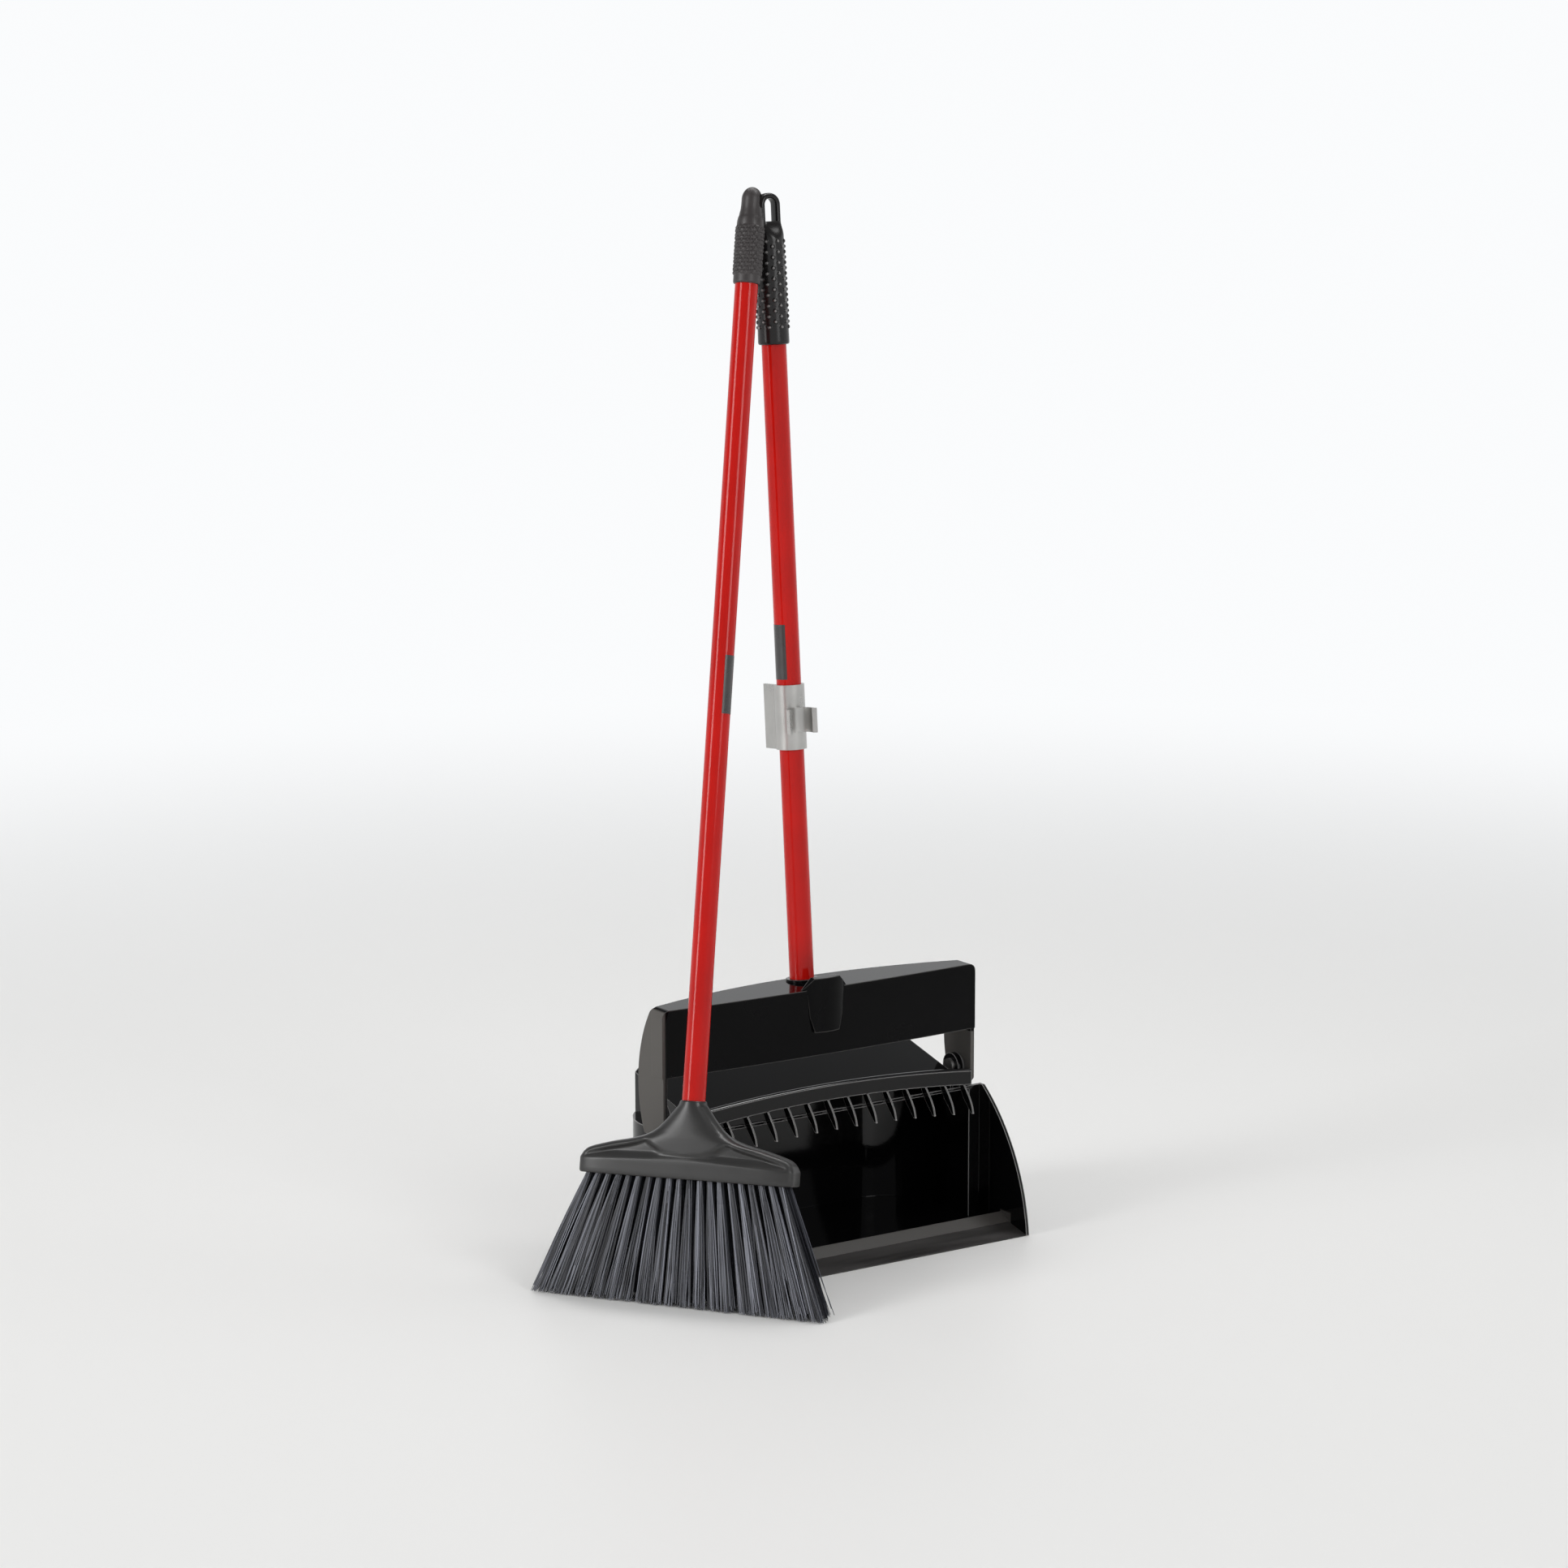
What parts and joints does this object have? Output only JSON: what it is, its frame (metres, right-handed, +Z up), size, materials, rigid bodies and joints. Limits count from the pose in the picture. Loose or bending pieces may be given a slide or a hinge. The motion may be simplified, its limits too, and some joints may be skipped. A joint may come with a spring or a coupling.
{
  "type": "lobby broom and dustpan set",
  "caption": "Upright lobby dustpan on a tilting red handle with a broom clip, and an angled-lean lobby broom with flared bristles standing against it.",
  "frame": {"origin": "on the floor, under the middle of the pan's rim", "axes": "+Z up, -Y out of the pan's mouth, +X to the pan's right seen from the front"},
  "size_m": [0.462, 0.2961, 0.947],
  "materials": {
    "black_plastic": "gloss",
    "red_tube": "gloss",
    "grip_rubber": "matte",
    "head_plastic": "satin",
    "bristle": "satin",
    "clip_plastic": "satin",
    "lip_plastic": "satin",
    "steel": "satin",
    "washer": "matte",
    "tip_plastic": "matte"
  },
  "bodies": {
    "pan": {"pan_tray": "black_plastic", "lip_strip": "lip_plastic"},
    "handle_frame": {"yoke": "black_plastic", "pivot_pin_left": "steel", "pivot_pin_right": "steel", "friction_washer_left": "washer", "friction_washer_right": "washer", "pan_tube": "red_tube", "tube_screw": "steel", "pan_grip": "grip_rubber"},
    "clip": {"broom_clip": "clip_plastic"},
    "broom": {"broom_head": "head_plastic", "broom_tube": "red_tube", "threaded_tip": "tip_plastic", "tip_lock_pin": "steel", "broom_grip": "grip_rubber", "bristle_row_1": "bristle", "bristle_row_2": "bristle", "bristle_row_3": "bristle", "bristle_row_4": "bristle"}
  },
  "joints": [
    {"name": "handle_tilt", "type": "hinge", "parent": "pan", "child": "handle_frame", "pos_m": [0, 0.029, 0.141], "axis": [-1, 0, 0], "range_deg": [0, 40]},
    {"name": "clip_turn", "type": "hinge", "parent": "handle_frame", "child": "clip", "pos_m": [0, 0.042, 0.24], "axis": [0, 0.0771, 0.997], "range_deg": [-60, 60]},
    {"name": "broom_lift", "type": "slide", "parent": "pan", "child": "broom", "axis": [-0.6006, -0.4504, 0.6606], "range_m": [0, 0.35]}
  ]
}
